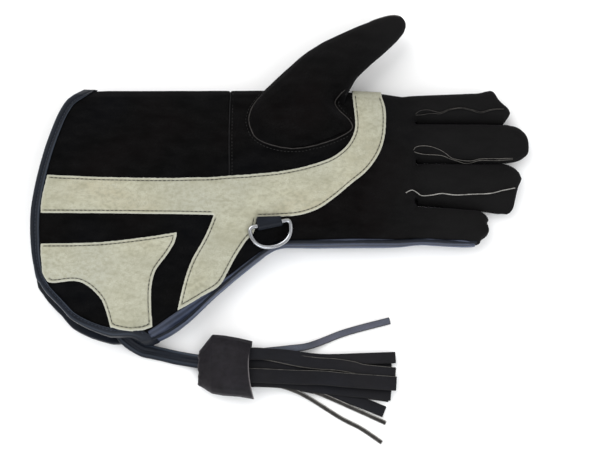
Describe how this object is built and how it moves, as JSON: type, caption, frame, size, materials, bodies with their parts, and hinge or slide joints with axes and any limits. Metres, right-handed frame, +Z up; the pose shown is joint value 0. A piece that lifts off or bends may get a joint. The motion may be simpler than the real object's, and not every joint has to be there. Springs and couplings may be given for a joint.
{
  "type": "falconry glove",
  "caption": "Flared leather gauntlet for a falconer's left hand, palm up, with suede overlays, a tether D-ring and a tassel",
  "frame": {"origin": "the middle of the underside of the glove without its tassel, on the surface that it lies on", "axes": "+X from the cuff to the fingertips, +Y towards the thumb, +Z up out of the palm"},
  "size_m": [0.3842, 0.3364, 0.047],
  "materials": {
    "black_suede": "matt napped suede",
    "cream_suede": "matt napped suede",
    "navy_leather": "smooth, half gloss",
    "nickel": "bright nickel plate"
  },
  "bodies": {
    "glove": {"hand_shell": "black_suede", "thumb_stall": "black_suede", "gauntlet_cuff": "black_suede", "palm_strap": "cream_suede", "cuff_patch": "cream_suede", "cuff_binding": "navy_leather", "side_piping": "navy_leather", "ring_tab": "navy_leather", "tassel_thong": "navy_leather", "tassel_collar": "black_suede", "tassel_fringe": "black_suede"},
    "tether_ring": {"d_ring": "nickel"}
  },
  "joints": [
    {"name": "ring_hinge", "type": "hinge", "parent": "glove", "child": "tether_ring", "pos_m": [-0.00902, -0.04026, 0.03387], "axis": [-0.9693, -0.2238, 0.1019], "range_deg": [0, 150]}
  ]
}
